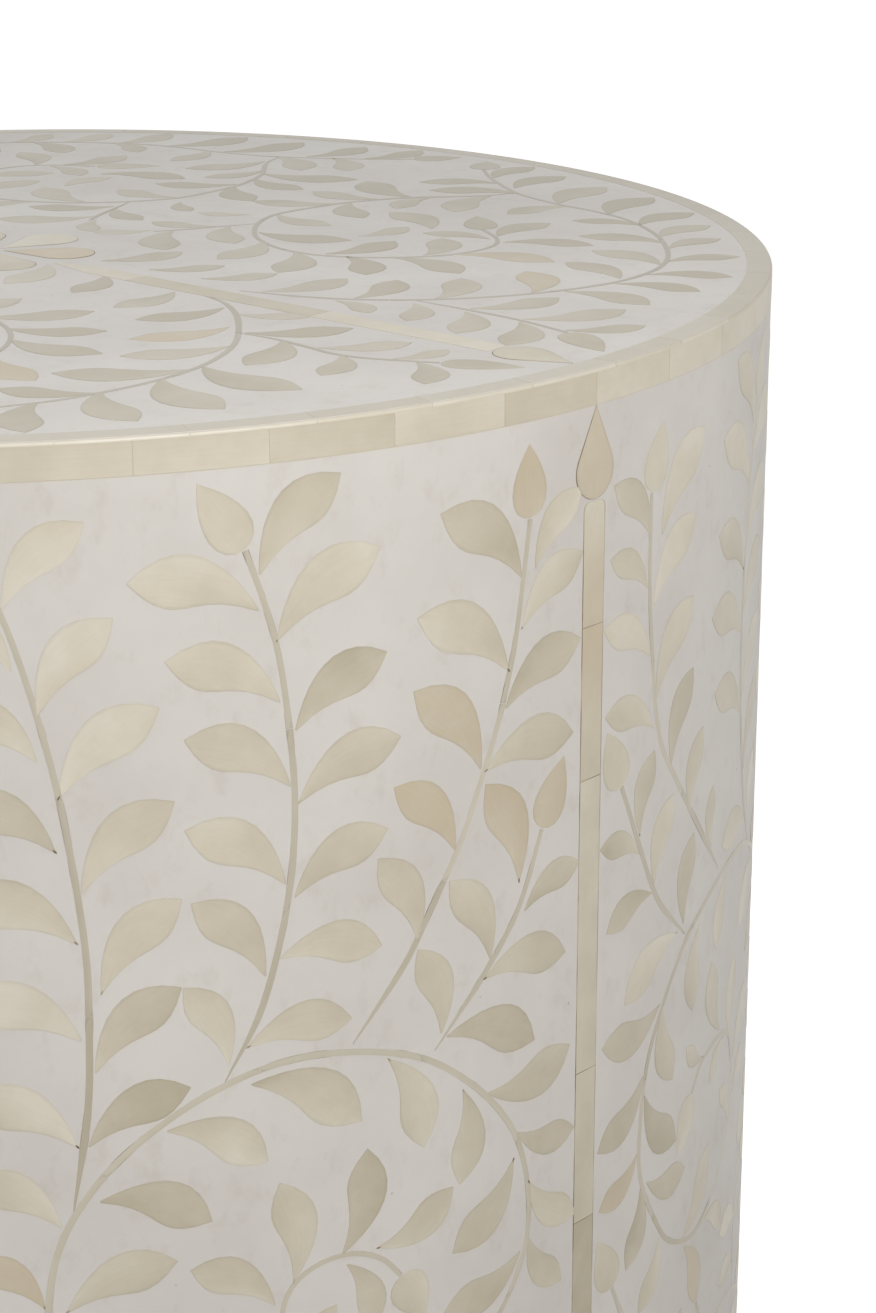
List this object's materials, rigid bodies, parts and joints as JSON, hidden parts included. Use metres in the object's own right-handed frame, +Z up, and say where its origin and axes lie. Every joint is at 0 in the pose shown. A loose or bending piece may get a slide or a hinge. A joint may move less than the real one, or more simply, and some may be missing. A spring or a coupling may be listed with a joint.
{
  "type": "side table",
  "caption": "Round drum side table with a closed cylindrical body and a flat top, covered in pale resin set with bone leaves, rods and bands.",
  "frame": {"origin": "centre of the circle on which the pads stand, on the floor", "axes": "+Z up along the axis of the drum; -Y is the middle of the front panel, between two rods"},
  "size_m": [0.45, 0.45, 0.5],
  "materials": {
    "bone": "satin",
    "resin": "satin",
    "plywood": "raw",
    "board": "raw",
    "batten": "raw",
    "pad": "matt"
  },
  "bodies": {
    "root": {"bar_finials": "bone", "base_panel": "board", "batten_1": "batten", "batten_2": "batten", "batten_3": "batten", "batten_4": "batten", "batten_5": "batten", "batten_6": "batten", "batten_7": "batten", "batten_8": "batten", "edge_band": "bone", "foot_band": "bone", "glides": "pad", "middle_hoop": "board", "rim_pieces": "bone", "rod_1": "bone", "rod_2": "bone", "rod_3": "bone", "rod_4": "bone", "rod_finials": "bone", "rosette_petals": "bone", "side_ground_1": "resin", "side_ground_2": "resin", "side_ground_3": "resin", "side_ground_4": "resin", "top_bar_1": "bone", "top_bar_2": "bone", "top_ground": "resin", "top_panel": "board", "wall_half_1": "plywood", "wall_half_2": "plywood"}
  },
  "joints": []
}
